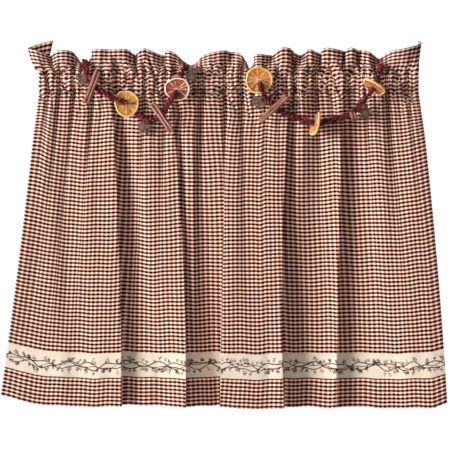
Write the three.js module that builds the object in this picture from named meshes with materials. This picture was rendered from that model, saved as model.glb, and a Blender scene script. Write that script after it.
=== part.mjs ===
// Tier curtain: one gathered gingham panel with a border strip, and two berry garlands hooked on its heading.
// Millimetres, +Z up. The front faces -Y, and the origin is the middle of the open rod pocket.
import * as THREE from "three";

// Cloth: thickness of one layer, clearance between pieces, and steps across the width
const LAYER = 1.2;
const SEAM_GAP = 0.3;
const COLUMNS = 90;

// Heights, from the lower stitch line of the rod pocket down to the hem
const PANEL_DROP = 436;
const BORDER_DROP = 42;
const HEM_DROP = 48;
const DROP = PANEL_DROP + BORDER_DROP + HEM_DROP;

// Rod pocket: half its height between stitch lines, how far each layer stands off its middle, and the
// share of the gathers' waves that is left there. Rows are heights in the pocket and shares of the ruffle.
const POCKET_HALF = 17;
const POCKET_BULGE = 11.5;
const POCKET_WAVE = 0.45;
const POCKET_ROWS = [-15, -7, 7, 15];
const RUFFLE_ROWS = [0.5, 1];

// Heights of the rows of each cloth piece, as shares of the drop, closer where the gathers fade
const PANEL_SHARES = [0, 0.04, 0.09, 0.16, 0.26, 0.38, 0.52, 0.67];
const PANEL_END = PANEL_DROP / DROP;
const BORDER_END = (PANEL_DROP + BORDER_DROP) / DROP;

// Side edges, and the plane of the foremost cloth, at the pocket, half way down and at the hem
const LEFT_EDGE = [-310, -341, -373];
const RIGHT_EDGE = [318, 346, 367];
const FRONT = [-8, -13, -14];

// Deep folds, a row each: x of both edges at pocket, middle and hem, widths of the flanks, and depth
const DEEP_FOLDS = [
  { left: [-189, -178, -174], right: [-163, -135, -98], near: 7, far: [10, 13, 20], depth: [15, 26, 28] },
  { left: [-92, -70, -66], right: [-74, -43, -27], near: 7, far: [8, 8, 8], depth: [15, 25, 28] },
  { left: [-58, -63, -51], right: [-33, -24, -11], near: 8, far: [8, 10, 7], depth: [15, 24, 28] },
  { left: [-30, -26, -24], right: [-4, -7, -10], near: 8, far: [7, 5, 5], depth: [9, 8, 8] },
  { left: [50, 53, 60], right: [110, 112, 112], near: 10, far: [10, 10, 10], depth: [3, 7, 3] },
  { left: [97, 95, 98], right: [118, 122, 128], near: 7, far: [8, 10, 12], depth: [17, 28, 28] },
  { left: [126, 116, 113], right: [155, 152, 166], near: 9, far: [10, 14, 24], depth: [15, 21, 26] },
  { left: [185, 182, 184], right: [215, 236, 246], near: 8, far: [10, 26, 34], depth: [16, 27, 27] },
];
const FOLD_JOIN = 4;

// Neighbouring deep folds that run together: the first and last of each run, and the least columns in a flank
const FOLD_RUNS = [[0, 0], [1, 3], [5, 6], [7, 7]];
const LEAST_COLUMNS = 3;

// Soft folds, a row each: x of the trough at pocket, middle and hem, its depth there, and its half width
const SOFT_FOLDS = [
  { x: [-287, -276, -266], depth: [5, 4, 2], half: 14 },
  { x: [-227, -214, -203], depth: [4, 2, 1], half: 11 },
  { x: [-126, -118, -113], depth: [3, 3, 6], half: 11 },
  { x: [22, 30, 35], depth: [6, 5, 2], half: 12 },
  { x: [264, 272, 270], depth: [5, 4, 2], half: 12 },
];

// Small gathers under the pocket: x at the pocket and depth, and how wide they are and how soon they fade
const GATHERS = [
  { x: -296, depth: 9 }, { x: -261, depth: 13 }, { x: -228, depth: 11 }, { x: -137, depth: 13 },
  { x: -109, depth: 11 }, { x: 24, depth: 9 }, { x: 62, depth: 12 }, { x: 84, depth: 8 },
  { x: 170, depth: 11 }, { x: 227, depth: 9 }, { x: 262, depth: 11 }, { x: 291, depth: 12 },
];
const GATHER_HALF = 8;
const GATHER_FADE = 95;

// Ends of the hanging cloth: where each turns back, how far back, and how far its hem is lifted
const LEFT_TURN = { width: 52, back: 9, lift: 15 };
const RIGHT_TURN = { width: 34, back: 19, lift: 8 };
const LIFT_START = 0.08;
const LIFT_FULL = 0.34;

// Top edge of the ruffle from its left end to its right, a row for each crest or dip. Foot is the x of its
// place on the pocket, where that isn't right below it
const RUFFLE = [
  { foot: -310, x: -287, y: 18, top: 65 }, { foot: -308, x: -306, y: 14, top: 61 },
  { foot: -304, x: -327, y: 2, top: 53 }, { foot: -299, x: -313, y: -9, top: 50 },
  { foot: -288, x: -294, y: -3, top: 42 }, { x: -268, y: -10, top: 50 },
  { x: -252, y: 0, top: 44 }, { x: -234, y: 8, top: 21 }, { x: -219, y: 2, top: 46 },
  { x: -204, y: -11, top: 53 }, { x: -184, y: 6, top: 53 }, { x: -169, y: -9, top: 53 },
  { x: -156, y: 9, top: 46 }, { x: -141, y: -8, top: 53 }, { x: -122, y: 6, top: 50 },
  { x: -112, y: -6, top: 46 }, { x: -104, y: 8, top: 43 }, { x: -93, y: -8, top: 51 },
  { x: -75, y: 1, top: 38 }, { x: -58, y: 8, top: 24 }, { x: -44, y: -4, top: 37 },
  { x: -23, y: -11, top: 45 }, { x: -4, y: -8, top: 50 }, { x: 6, y: 5, top: 48 },
  { x: 20, y: -7, top: 46 }, { x: 39, y: 8, top: 18 }, { x: 50, y: -7, top: 44 },
  { x: 70, y: 8, top: 42 }, { x: 96, y: -11, top: 55 }, { x: 119, y: 9, top: 42 },
  { x: 138, y: -9, top: 53 }, { x: 153, y: 7, top: 48 }, { x: 168, y: -9, top: 55 },
  { x: 189, y: 8, top: 51 }, { x: 204, y: -8, top: 56 }, { x: 217, y: 7, top: 52 },
  { x: 237, y: -4, top: 47 }, { x: 254, y: 8, top: 36 }, { x: 276, y: -5, top: 48 },
  { x: 296, y: -11, top: 56 }, { foot: 309, x: 315, y: -4, top: 59 },
  { foot: 315, x: 322, y: 6, top: 61 }, { foot: 318, x: 317, y: 15, top: 65 },
];

// Garland: strung berries, twine, dried slices, rolled bark and cut tin
const BERRY = { fat: 4.6, thin: 3.5, step: 4.7, sides: 6 };
const TWINE = { radius: 1, sides: 8, step: 5 };
const SLICE = { radius: 21.5, thick: 4.2, rim: 1.6, dish: 0.7, sides: 16 };
const QUILL = { roll: 3.1, apart: 2.5, groove: -0.55, steps: 7 };
const STAR = { points: 5, outer: 11.5, inner: 5.2, thick: 1 };

// Strung berries, a route each, from over the heading down and along
const BERRY_ROUTES = {
  berries_left_a: [
    [-233.5, 16, 25], [-233.5, 8, 30.2], [-233, -3, 31], [-231.6, -14, 24.4], [-228.8, -22.6, 12],
    [-224.8, -25.6, 3], [-218.8, -24.6, -6], [-208, -24, -16], [-190, -26, -26], [-177, -27.6, -31],
    [-164, -27.6, -35],
  ],
  berries_left_b: [
    [-148.6, -19.3, -53.4], [-138, -19, -60], [-126, -19, -64], [-113, -20, -62], [-101, -24, -48],
    [-91, -29.6, -31], [-82, -32.4, -17],
  ],
  berries_left_c: [[-76, -25.8, 8.3], [-72, -22.5, 15.5], [-67.5, -17, 20.5], [-64.2, -8.2, 21.8]],
  berries_right_b: [
    [55, -32.6, -3], [59, -30.6, -15], [63, -27.2, -22.5], [70, -22.5, -32], [81, -19.5, -43], [96, -19, -53],
    [113, -19.5, -60], [129, -21, -66], [144.9, -23, -69],
  ],
  berries_right_c: [
    [151.8, -23, -70], [166, -20, -67], [180, -19, -62], [197, -20, -58], [209, -21, -52], [219, -24, -41],
    [229, -30, -29], [241.7, -37, -10.2],
  ],
  berries_right_d: [
    [245.4, -37.3, -5], [250, -30, 6.3], [253, -23, 16.4], [254.6, -15, 23], [254.4, -3.6, 25],
  ],
};
const TWINE_ROUTE = [[46, -13.5, 13.6], [47.6, -18, 10], [49.6, -21.6, 6.5], [52, -23.6, 3]];

// Dried slices: centre, and the way the seen face looks
const SLICES = [
  { at: [-164, -20, -37], facing: [0.15, -0.94, 0.3] },
  { at: [-80, -26, -13], facing: [-0.12, -0.98, -0.1] },
  { at: [54, -26, 2], facing: [0.1, -0.98, -0.12] },
  { at: [148, -23, -70], facing: [-0.93, -0.2, 0.31] },
  { at: [243, -37, -8.5], facing: [0.55, -0.22, 0.8] },
];

// Rolled bark: both ends of each stick
const STICKS = [
  { from: [-210, -33, 17], to: [-230, -32, -36] },
  { from: [-121, -30.8, -37], to: [-89, -29.8, -83] },
  { from: [101, -26.2, -25], to: [56, -29.2, -65] },
  { from: [208, -26.2, -52], to: [211, -55, -61] },
];

// Tin stars: centre, and turn about the line of sight in degrees
const STARS = [
  { at: [-235.8, -19.2, 3], turn: 12 },
  { at: [-135, -17, -77.6], turn: 8 },
  { at: [-58, -22, 10.5], turn: -8 },
  { at: [52.3, -23.4, -34], turn: 42 },
  { at: [229.9, -20.5, -52], turn: 10 },
];

const COLOURS = {
  gingham: 0xa2665a, cream: 0xe8dec4, berry: 0x651722, twine: 0x7a6a52,
  orange: 0xd48a28, bark: 0x8b5338, tin: 0x6d5c52,
};
const FINISH = {
  cloth: { roughness: 0.95, metalness: 0 },
  trim: { roughness: 0.7, metalness: 0 },
  tin: { roughness: 0.75, metalness: 0.6 },
};

const curtain = new THREE.Group();

function addPiece(name, geometry, colour, finish) {
  const piece = new THREE.Mesh(geometry, new THREE.MeshStandardMaterial({ color: colour, ...finish }));
  piece.name = name;
  curtain.add(piece);
  return piece;
}

// A closed skin gathered from points and four-sided faces
class Skin {
  constructor() {
    this.positions = [];
    this.index = [];
  }

  point(x, y, z) {
    this.positions.push(x, y, z);
    return this.positions.length / 3 - 1;
  }

  triangle(a, b, c) {
    this.index.push(a, b, c);
  }

  quad(a, b, c, d) {
    this.triangle(a, b, c);
    this.triangle(a, c, d);
  }

  // Faces between two rows of points, seen from the side where low runs from left to right under high
  strip(low, high) {
    for (let i = 0; i + 1 < low.length; i += 1) this.quad(low[i], low[i + 1], high[i + 1], high[i]);
  }

  geometry() {
    const made = new THREE.BufferGeometry();
    made.setAttribute("position", new THREE.Float32BufferAttribute(this.positions, 3));
    made.setIndex(this.index);
    made.computeVertexNormals();
    return made;
  }
}

// A value given at pocket, middle and hem, on the curve through the three
function along([top, middle, hem], share) {
  const rest = 1 - share;
  return top * rest * (1 - 2 * share) + middle * 4 * share * rest + hem * share * (2 * share - 1);
}

function rise(from, to, value) {
  return THREE.MathUtils.smoothstep(value, from, to);
}

// Where a thread that leaves the pocket at x hangs at this share of the drop
function fanned(x, share) {
  const across = (x - LEFT_EDGE[0]) / (RIGHT_EDGE[0] - LEFT_EDGE[0]);
  return THREE.MathUtils.lerp(along(LEFT_EDGE, share), along(RIGHT_EDGE, share), across);
}

// Depth of the cloth's middle surface at x
function clothDepth(x, share) {
  let deep = 0;
  for (const fold of DEEP_FOLDS) {
    const left = along(fold.left, share);
    const right = along(fold.right, share);
    const trough = rise(left, left + fold.near, x) * (1 - rise(right - along(fold.far, share), right, x));
    deep += (along(fold.depth, share) * trough) ** FOLD_JOIN;
  }
  let depth = along(FRONT, share) + deep ** (1 / FOLD_JOIN);
  for (const fold of SOFT_FOLDS) {
    depth += along(fold.depth, share) * Math.exp(-(((x - along(fold.x, share)) / fold.half) ** 2));
  }
  const fade = Math.exp(-(share * DROP) / GATHER_FADE);
  for (const gather of GATHERS) {
    depth += gather.depth * fade * Math.exp(-(((x - fanned(gather.x, share)) / GATHER_HALF) ** 2));
  }
  const turned = rise(LIFT_START, LIFT_FULL, share);
  const left = along(LEFT_EDGE, share);
  const right = along(RIGHT_EDGE, share);
  depth += LEFT_TURN.back * turned * (1 - rise(left, left + LEFT_TURN.width, x));
  depth += RIGHT_TURN.back * turned * rise(right - RIGHT_TURN.width, right, x);
  return depth;
}

// How far the ends of the cloth are drawn up
function clothLift(x, share) {
  const raised = rise(LIFT_START, LIFT_FULL, share);
  const left = along(LEFT_EDGE, share);
  const right = along(RIGHT_EDGE, share);
  const atLeft = LEFT_TURN.lift * (1 - rise(left, left + 2 * LEFT_TURN.width, x));
  const atRight = RIGHT_TURN.lift * rise(right - 2 * RIGHT_TURN.width, right, x);
  return raised * (atLeft + atRight);
}

// A line of points with the distance along it, in plan, at each of them
function measured(line) {
  const length = [0];
  for (let i = 1; i < line.length; i += 1) {
    length.push(length[i - 1] + Math.hypot(line[i].x - line[i - 1].x, line[i].y - line[i - 1].y));
  }
  return { line, length, total: length[length.length - 1] };
}

// The points of a measured line at rising distances along it
function pointsAt({ line, length }, distances) {
  let at = 1;
  return distances.map((wanted) => {
    while (at < line.length - 1 && length[at] < wanted) at += 1;
    const part = (wanted - length[at - 1]) / (length[at] - length[at - 1]);
    const between = (key) => THREE.MathUtils.lerp(line[at - 1][key], line[at][key], part);
    return { x: between("x"), y: between("y"), z: between("z") };
  });
}

// One level of the hanging cloth as a fine measured line
const FINE_STEPS = 1200;

function clothLine(share) {
  const line = [];
  for (let i = 0; i <= FINE_STEPS; i += 1) {
    const x = THREE.MathUtils.lerp(along(LEFT_EDGE, share), along(RIGHT_EDGE, share), i / FINE_STEPS);
    const z = -POCKET_HALF - share * DROP + clothLift(x, share);
    line.push({ x, y: clothDepth(x, share), z });
  }
  return measured(line);
}

// Distances along a level at its two ends and at the creases of its deep folds
function creases(level, share) {
  const places = [along(LEFT_EDGE, share)];
  for (const [first, last] of FOLD_RUNS.map((run) => run.map((i) => DEEP_FOLDS[i]))) {
    const left = along(first.left, share);
    const right = along(last.right, share);
    places.push(left, left + first.near, right - along(last.far, share), right);
  }
  places.push(along(RIGHT_EDGE, share));
  const start = places[0];
  const step = (places[places.length - 1] - start) / FINE_STEPS;
  return places.map((x) => level.length[Math.round((x - start) / step)]);
}

// Columns between neighbouring creases, shared out by their distance half way down the cloth
const HALF_WAY = 0.5;

function columnCounts() {
  const level = clothLine(HALF_WAY);
  const marks = creases(level, HALF_WAY);
  return marks.slice(1).map((mark, i) => {
    const wanted = Math.round((COLUMNS * (mark - marks[i])) / level.total);
    return Math.max(wanted, LEAST_COLUMNS);
  });
}

const SPANS = columnCounts();
const LAST_COLUMN = SPANS.reduce((sum, count) => sum + count, 0);

// Distances of the columns along a level, so that a column stays on its crease all the way down
function columnDistances(level, share) {
  const marks = creases(level, share);
  const distances = [0];
  SPANS.forEach((count, span) => {
    for (let k = 1; k <= count; k += 1) {
      distances.push(THREE.MathUtils.lerp(marks[span], marks[span + 1], k / count));
    }
  });
  return distances;
}

function clothRow(share) {
  const level = clothLine(share);
  return pointsAt(level, columnDistances(level, share));
}

// The wavy top edge of the ruffle over a row of the pocket, with each crest and dip over its own foot
function ruffleEdge(base) {
  const curve = new THREE.CatmullRomCurve3(RUFFLE.map(({ x, y, top }) => new THREE.Vector3(x, y, top)));
  const feet = RUFFLE.map(({ x, foot = x }) => foot);
  const last = feet.length - 1;
  return base.map(({ x }) => {
    const next = THREE.MathUtils.clamp(feet.findIndex((foot) => foot >= x), 1, last);
    const part = (x - feet[next - 1]) / (feet[next] - feet[next - 1]);
    return curve.getPoint((next - 1 + part) / last);
  });
}

// Level directions square to a row, pointing out of its front
function frontNormals(row) {
  return row.map((_, i) => {
    const before = row[Math.max(i - 1, 0)];
    const after = row[Math.min(i + 1, row.length - 1)];
    const length = Math.hypot(after.x - before.x, after.y - before.y);
    return { x: (after.y - before.y) / length, y: -(after.x - before.x) / length };
  });
}

// Adds a row of points that stands off a row of the cloth by a distance along its normals
function offsetRow(skin, row, distance, push = 0) {
  const normals = frontNormals(row);
  return row.map(({ x, y, z }, i) => {
    const out = normals[i];
    return skin.point(x + out.x * distance, y + push + out.y * distance, z);
  });
}

// A sheet through rows listed from the lowest up
function sheet(rows) {
  const skin = new Skin();
  const front = rows.map((row) => offsetRow(skin, row, LAYER / 2));
  const back = rows.map((row) => offsetRow(skin, row, -LAYER / 2));
  for (let r = 0; r + 1 < rows.length; r += 1) {
    skin.strip(front[r], front[r + 1]);
    skin.strip(back[r + 1], back[r]);
    skin.quad(back[r][0], front[r][0], front[r + 1][0], back[r + 1][0]);
    const [low, high] = [r, r + 1].map((at) => [front[at][LAST_COLUMN], back[at][LAST_COLUMN]]);
    skin.quad(low[0], low[1], high[1], high[0]);
  }
  skin.strip(back[0], front[0]);
  skin.strip(front[rows.length - 1], back[rows.length - 1]);
  return skin.geometry();
}

// A band of cloth between two shares of the drop, cut short of its neighbours by the seam gap
function clothBand(shares) {
  const gap = SEAM_GAP / DROP / 2;
  const trimmed = shares.map((share, i) => {
    if (i === 0) return share + gap;
    return i === shares.length - 1 ? share - gap : share;
  });
  return sheet(trimmed.reverse().map(clothRow));
}

// The heading: two layers apart at the rod pocket and sewn together above and below it
function heading() {
  const skin = new Skin();
  const base = clothRow(0);
  const edge = ruffleEdge(base);
  const level = (z) => base.map(({ x, y }) => ({ x, y, z }));
  const pocket = (z) => {
    const wave = THREE.MathUtils.lerp(POCKET_WAVE, 1, (z / POCKET_HALF) ** 2);
    return base.map(({ x, y }) => ({ x, y: y * wave, z }));
  };
  const ruffle = (share) => base.map(({ x, y }, i) => ({
    x: THREE.MathUtils.lerp(x, edge[i].x, share),
    y: THREE.MathUtils.lerp(y, edge[i].y, share),
    z: THREE.MathUtils.lerp(POCKET_HALF, edge[i].z, share),
  }));
  const bulge = (z) => POCKET_BULGE * Math.sqrt(1 - (z / POCKET_HALF) ** 2);

  const sewn = (row) => ({ front: offsetRow(skin, row, LAYER), back: offsetRow(skin, row, -LAYER) });
  const open = (z) => {
    const row = pocket(z);
    return {
      front: offsetRow(skin, row, LAYER / 2, -bulge(z)),
      back: offsetRow(skin, row, -LAYER / 2, bulge(z)),
      frontInner: offsetRow(skin, row, -LAYER / 2, -bulge(z)),
      backInner: offsetRow(skin, row, LAYER / 2, bulge(z)),
    };
  };
  const tail = sewn(level(SEAM_GAP / 2 - POCKET_HALF));
  const tunnel = POCKET_ROWS.map(open);
  const upper = [sewn(level(POCKET_HALF)), ...RUFFLE_ROWS.map((share) => sewn(ruffle(share)))];
  const rows = [tail, ...tunnel, ...upper];

  for (let r = 0; r + 1 < rows.length; r += 1) {
    skin.strip(rows[r].front, rows[r + 1].front);
    skin.strip(rows[r + 1].back, rows[r].back);
  }
  skin.strip(tail.back, tail.front);
  skin.strip(rows[rows.length - 1].front, rows[rows.length - 1].back);
  for (let r = 0; r + 1 < tunnel.length; r += 1) {
    skin.strip(tunnel[r + 1].frontInner, tunnel[r].frontInner);
    skin.strip(tunnel[r].backInner, tunnel[r + 1].backInner);
  }
  const lowest = tunnel[0];
  const highest = tunnel[tunnel.length - 1];
  skin.strip(lowest.frontInner, lowest.backInner);
  skin.strip(highest.backInner, highest.frontInner);
  endOfHeading(tail, tunnel, upper, 0, (a, b, c) => skin.triangle(a, b, c));
  endOfHeading(tail, tunnel, upper, LAST_COLUMN, (a, b, c) => skin.triangle(a, c, b));
  return skin.geometry();
}

// One open end of the heading, its cut layers closed round the mouth of the pocket
function endOfHeading(tail, tunnel, upper, i, triangle) {
  const fan = (...corners) => {
    for (let k = 1; k + 1 < corners.length; k += 1) triangle(corners[0], corners[k], corners[k + 1]);
  };
  const corners = (row, sides) => sides.map((side) => row[side][i]);
  const across = ["front", "frontInner", "backInner", "back"];
  const lowest = corners(tunnel[0], across);
  const highest = corners(tunnel[tunnel.length - 1], across);
  fan(tail.front[i], ...lowest, tail.back[i]);
  fan(upper[0].front[i], upper[0].back[i], ...highest.reverse());
  for (let r = 0; r + 1 < tunnel.length; r += 1) {
    const low = tunnel[r];
    const high = tunnel[r + 1];
    fan(low.frontInner[i], low.front[i], high.front[i], high.frontInner[i]);
    fan(low.back[i], low.backInner[i], high.backInner[i], high.back[i]);
  }
  for (let r = 0; r + 1 < upper.length; r += 1) {
    fan(upper[r].back[i], upper[r].front[i], upper[r + 1].front[i], upper[r + 1].back[i]);
  }
}

// A round rope along a route, its radius given ring by ring
function rope(route, sides, step, radiusOf) {
  const curve = new THREE.CatmullRomCurve3(route.map((place) => new THREE.Vector3(...place)));
  const rings = Math.max(2, Math.round(curve.getLength() / step));
  const frames = curve.computeFrenetFrames(rings);
  const skin = new Skin();
  const ringPoints = [];
  for (let r = 0; r <= rings; r += 1) {
    const centre = curve.getPointAt(r / rings);
    const ring = [];
    for (let k = 0; k < sides; k += 1) {
      const angle = (2 * Math.PI * k) / sides;
      const out = frames.normals[r].clone().multiplyScalar(Math.cos(angle));
      out.addScaledVector(frames.binormals[r], Math.sin(angle));
      const place = centre.clone().addScaledVector(out, radiusOf(r));
      ring.push(skin.point(place.x, place.y, place.z));
    }
    ring.push(ring[0]);
    ringPoints.push(ring);
  }
  for (let r = 0; r < rings; r += 1) skin.strip(ringPoints[r], ringPoints[r + 1]);
  const first = ringPoints[0];
  const last = ringPoints[rings];
  for (let k = 1; k + 1 < sides; k += 1) {
    skin.triangle(first[0], first[k + 1], first[k]);
    skin.triangle(last[0], last[k], last[k + 1]);
  }
  return skin.geometry();
}

function berryString(route) {
  return rope(route, BERRY.sides, BERRY.step, (ring) => (ring % 2 ? BERRY.fat : BERRY.thin));
}

// A dried slice: a dished disc with a thicker peel, turned so that its axis is +Z
function sliceGeometry() {
  const half = SLICE.thick / 2;
  const flesh = half - SLICE.dish;
  const inside = SLICE.radius - SLICE.rim;
  const profile = [
    [0, -flesh], [inside - SLICE.rim, -flesh], [inside, -half], [SLICE.radius, -half / 2],
    [SLICE.radius, half / 2], [inside, half], [inside - SLICE.rim, flesh], [0, flesh],
  ];
  const made = new THREE.LatheGeometry(profile.map(([r, h]) => new THREE.Vector2(r, h)), SLICE.sides);
  return made.rotateX(Math.PI / 2);
}

// A rolled bark stick: two rolls side by side with a groove between them, along +Z from the middle
function stickGeometry(length) {
  const outline = new THREE.Shape();
  const open = Math.acos(QUILL.groove);
  outline.absarc(QUILL.apart, 0, QUILL.roll, -open, open, false);
  outline.absarc(-QUILL.apart, 0, QUILL.roll, Math.PI - open, Math.PI + open, false);
  outline.closePath();
  const options = { depth: length, steps: 1, bevelEnabled: false, curveSegments: QUILL.steps };
  return new THREE.ExtrudeGeometry(outline, options).translate(0, 0, -length / 2);
}

// A flat cut star facing -Y
function starGeometry() {
  const outline = new THREE.Shape();
  for (let k = 0; k < 2 * STAR.points; k += 1) {
    const reach = k % 2 ? STAR.inner : STAR.outer;
    const angle = Math.PI / 2 + (Math.PI * k) / STAR.points;
    const corner = [reach * Math.cos(angle), reach * Math.sin(angle)];
    if (k === 0) outline.moveTo(...corner);
    else outline.lineTo(...corner);
  }
  outline.closePath();
  const options = { depth: STAR.thick, bevelEnabled: false };
  return new THREE.ExtrudeGeometry(outline, options).translate(0, 0, -STAR.thick / 2).rotateX(Math.PI / 2);
}

const AXIS_UP = new THREE.Vector3(0, 0, 1);

// The cloth, from the top down
addPiece("heading", heading(), COLOURS.gingham, FINISH.cloth);
addPiece("panel", clothBand([...PANEL_SHARES, PANEL_END]), COLOURS.gingham, FINISH.cloth);
addPiece("border_band", clothBand([PANEL_END, BORDER_END]), COLOURS.cream, FINISH.cloth);
addPiece("hem_band", clothBand([BORDER_END, 1]), COLOURS.gingham, FINISH.cloth);

// The two garlands
for (const [name, route] of Object.entries(BERRY_ROUTES)) {
  addPiece(name, berryString(route), COLOURS.berry, FINISH.trim);
}
const twine = rope(TWINE_ROUTE, TWINE.sides, TWINE.step, () => TWINE.radius);
addPiece("twine_right", twine, COLOURS.twine, FINISH.trim);
SLICES.forEach(({ at, facing }, i) => {
  const slice = addPiece(`orange_slice_${i + 1}`, sliceGeometry(), COLOURS.orange, FINISH.trim);
  slice.position.set(...at);
  slice.quaternion.setFromUnitVectors(AXIS_UP, new THREE.Vector3(...facing).normalize());
});
STICKS.forEach(({ from, to }, i) => {
  const start = new THREE.Vector3(...from);
  const end = new THREE.Vector3(...to);
  const run = end.clone().sub(start);
  const stick = addPiece(`cinnamon_stick_${i + 1}`, stickGeometry(run.length()), COLOURS.bark, FINISH.trim);
  stick.position.copy(start).lerp(end, 0.5);
  stick.quaternion.setFromUnitVectors(AXIS_UP, run.normalize());
});
STARS.forEach(({ at, turn }, i) => {
  const star = addPiece(`tin_star_${i + 1}`, starGeometry(), COLOURS.tin, FINISH.tin);
  star.position.set(...at);
  star.rotation.y = THREE.MathUtils.degToRad(turn);
});

export default curtain;
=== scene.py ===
"""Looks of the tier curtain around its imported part: cloth, printed strip, stitching and garlands.

Tables are in millimetres in the part's frame: +X right, +Y back, +Z up, and the front faces -Y.
"""
import math

import bmesh
import bpy
import numpy as np
from mathutils import Matrix, Quaternion, Vector


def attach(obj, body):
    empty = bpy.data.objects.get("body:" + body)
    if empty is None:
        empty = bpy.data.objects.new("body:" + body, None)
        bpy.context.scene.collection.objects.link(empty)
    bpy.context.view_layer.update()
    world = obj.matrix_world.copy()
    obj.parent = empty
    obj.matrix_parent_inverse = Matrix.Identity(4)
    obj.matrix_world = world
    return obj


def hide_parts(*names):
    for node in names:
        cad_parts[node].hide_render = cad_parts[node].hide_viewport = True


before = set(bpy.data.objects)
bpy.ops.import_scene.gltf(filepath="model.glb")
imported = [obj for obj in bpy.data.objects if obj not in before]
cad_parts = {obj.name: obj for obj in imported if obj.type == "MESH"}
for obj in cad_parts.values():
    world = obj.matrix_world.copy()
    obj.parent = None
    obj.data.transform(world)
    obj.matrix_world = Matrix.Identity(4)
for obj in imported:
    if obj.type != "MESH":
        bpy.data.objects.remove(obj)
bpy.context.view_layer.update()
MM = 0.001
LOOK = "_look"
random = np.random.default_rng(7)


def srgb(red, green, blue):
    """A display colour from 0 to 255 as a shader colour."""
    share = [value / 255 for value in (red, green, blue)]
    return (*[v / 12.92 if v <= 0.04045 else ((v + 0.055) / 1.055) ** 2.4 for v in share], 1.0)


# Camera: what a pixel of the picture spans at the cloth, the point it looks at, and from where
PIXEL = 1.66
PICTURE = 450
VIEW_CENTRE = (-1.7, -10.0, -239.0)
VIEW_DISTANCE = 4000.0
VIEW_RISE = math.radians(5.5)
SENSOR = 36.0

# Light: colour of the surroundings, and lamps as place, aim, size in metres and power
AMBIENT = (0.16, 0.136, 0.105, 1)
LIGHTS = [
    ("key", (-4.67, -2.59, 0.86), (0, 0, -0.25), 3.0, 516),
    ("front", (-0.6, -3.4, 0.6), (0, 0, -0.25), 1.6, 12),
    ("rear", (2.4, 5.0, 0.9), (0, 0, -0.25), 2.6, 220),
]

# Cloth: half the height of the rod pocket, drops of the strips below it, and flat width
POCKET_HALF = 17.0
PANEL_DROP = 436.0
BORDER_DROP = 42.0
HEM_DROP = 48.0
DROP = PANEL_DROP + BORDER_DROP + HEM_DROP
FLAT_WIDTH = 914.0

# Thickness, gap between layers, and turned hems below and at the sides
SHEET = 0.5
LAYER_GAP = 1.1
HEM_TURN = 15.0
SIDE_HEM = 11.0

# Grid of the cloth: widths of columns in gingham and in print, drops of rows, and rows of one layer of the
# pocket and of the ruffle
COLUMN_STEP = 1.75
PRINT_STEP = 0.95
PANEL_DROPS = np.concatenate([np.arange(0, 40, 2.5), np.arange(40, 120, 4), np.linspace(120, PANEL_DROP, 44)])
BORDER_DROPS = np.linspace(PANEL_DROP, PANEL_DROP + BORDER_DROP, 44)
HEM_DROPS = np.linspace(PANEL_DROP + BORDER_DROP, DROP, 15)
POCKET_ROWS = 15
RUFFLE_ROWS = 14

# Folds from left to right: x, y and how far the cloth is drawn up, each at pocket, middle and hem, rounding
# of the bend, and how full the cloth is to the next. Then the share of the drop over which the drawing up
# sets in
BENDS = np.array([
    [-309, -340, -376, -5, -15, -18, 15, 17, 20, 6, 1.0],
    [-303, -311, -321, -9, -14, -16, 19, 10, 5, 3, 1.14],
    [-284, -276, -268, -9, -14, -16, 3, 2.6, 1, 14, 1.14],
    [-236, -231, -228, -10, -15, -17, 0, -1.5, 0, 20, 1.14],
    [-188, -176.5, -173, -10, -16, -17, 5, 1.5, 0.5, 3, 0.6],
    [-191, -183.5, -182, -2, -3, -2, 5, 1, 0, 6, 0.6],
    [-184, -168, -163, 5, 8, 8, 0, -1.5, 0, 8, 1.0],
    [-178, -150, -136, 5, 7, 0, 0, -2, 0, 9, 1.0],
    [-165, -128, -100, -8, -7, -3, 0, -3, -1.5, 12, 1.1],
    [-91, -70.5, -66, -9, -12, -12, 2, 1, -2.5, 3, 0.6],
    [-93, -77, -75, -1, -5, 2, 2, 1, -2, 6, 0.6],
    [-81, -69, -61, 4, 2, 1, 0, 0, -2.5, 5, 1.0],
    [-72, -64, -52, -9, -3, 4, 0, 0, -3, 5, 1.0],
    [-48, -55, -44, -10, -4, 8, 0, -0.5, -3.5, 4, 1.0],
    [-39, -44, -28, 6, 6, 19, 0, -1, -4.5, 6, 1.0],
    [-30, -30, -14, -9, 7, 30, 0, -1, -5, 5, 1.0],
    [2, 3, 11, -4, 3, 29, 0, -1, -4, 5, 0.6],
    [7, 3, 9, -2, -5, 3, 0, 0, -2, 5, 0.6],
    [2, -6, -11, -9, -16, -17, 0, 0, -1, 3, 1.14],
    [56, 58, 62, -9, -15.5, -17, 0, 0, -3.6, 5, 1.1],
    [63, 65, 71, -8, -14.5, -16, 3, 3, -4, 5, 1.14],
    [107, 95, 98, -10, -17, -19, 3, 3, -2, 3, 0.6],
    [104, 88, 91, -1, -1, -1, 3, 2.5, -2, 6, 0.6],
    [111, 102, 107, 7, 8, 4, 0, -1, -4, 7, 1.0],
    [124, 120, 132, -17, 5, 25, 0, -1.5, -6, 8, 1.0],
    [162, 154, 154, 4, 7, 15, 0, -1, -6.5, 8, 1.0],
    [186, 180, 176, -7, -2, 6, 5, 1, -6, 10, 1.1],
    [194, 188, 185, -9, -8, 0, 5, 1, -4, 5, 0.6],
    [197, 191, 193, -1, 1, 9, 5, 1, -4.5, 6, 0.7],
    [209, 212, 208, 8, 16, 25, 4, -1, -6, 8, 1.0],
    [238, 256, 258, -8, 1, 19, 8, 1, -8, 14, 1.14],
    [263, 280, 300, -7, -7, 8, 2, 0.5, -6.5, 20, 1.14],
    [311, 331, 349, -9, -10.5, 0, 14, 7, -4.5, 4, 1.0],
    [318, 348, 371, -8, -9, 1, 18, 12, 4, 6, 1.0],
])
DRAWN_UP_FROM = 0.2

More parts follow.
